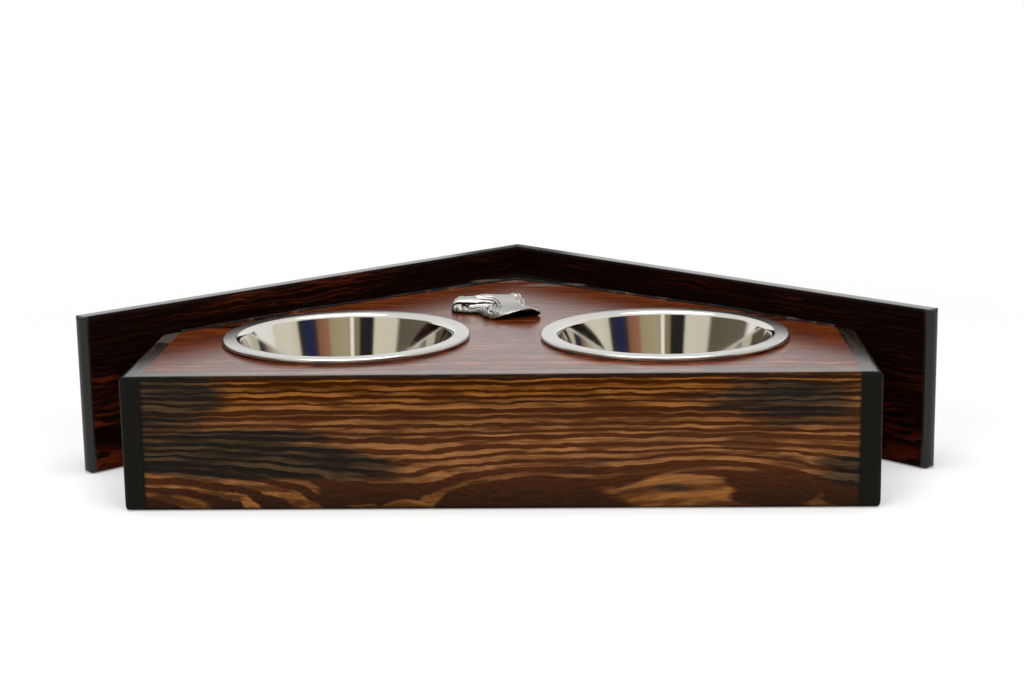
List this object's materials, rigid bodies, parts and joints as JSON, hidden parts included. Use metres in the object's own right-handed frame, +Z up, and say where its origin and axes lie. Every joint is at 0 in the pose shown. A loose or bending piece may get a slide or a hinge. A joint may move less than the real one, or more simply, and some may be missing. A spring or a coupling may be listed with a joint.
{
  "type": "dog feeder stand",
  "caption": "Low corner feeder stand of burnt, varnished pine boards with lift-out steel bowls let into its top and a small cast dog's head behind them.",
  "frame": {"origin": "centre of the stand's bounding box in plan, at floor level", "axes": "+X to the right as seen from the front and along the longest side, +Y from the front board towards the back corner, +Z up"},
  "size_m": [0.5416, 0.363, 0.102],
  "materials": {
    "burnt_pine": "burnt, brushed and varnished, glossy",
    "raw_pine": "planed, bare",
    "old_glue": "dried glue with dust and ash in it",
    "zinc": "zinc plated",
    "bowl_steel": "stainless, polished inside and satin on the rim",
    "cast_silver": "silver-coloured casting, darkened in its hollows"
  },
  "bodies": {
    "stand": {"top_board": "burnt_pine", "front_board": "burnt_pine", "left_side_board": "burnt_pine", "right_side_board": "burnt_pine", "left_back_board": "burnt_pine", "right_back_board": "burnt_pine", "front_cleat": "raw_pine", "left_side_cleat": "raw_pine", "right_side_cleat": "raw_pine", "left_back_cleat": "raw_pine", "right_back_cleat": "raw_pine", "apex_block": "raw_pine", "left_corner_block": "raw_pine", "right_corner_block": "raw_pine", "front_dowels": "raw_pine", "left_joint_bead": "old_glue", "right_joint_bead": "old_glue", "cleat_screws": "zinc", "top_screws": "zinc", "back_screws": "zinc", "dog_casting": "cast_silver"},
    "left_bowl": {"left_bowl": "bowl_steel"},
    "right_bowl": {"right_bowl": "bowl_steel"}
  },
  "joints": [
    {"name": "left_bowl_lift", "type": "slide", "parent": "stand", "child": "left_bowl", "axis": [0, 0, 1], "range_m": [0, 0.12]},
    {"name": "right_bowl_lift", "type": "slide", "parent": "stand", "child": "right_bowl", "axis": [0, 0, 1], "range_m": [0, 0.12]}
  ]
}
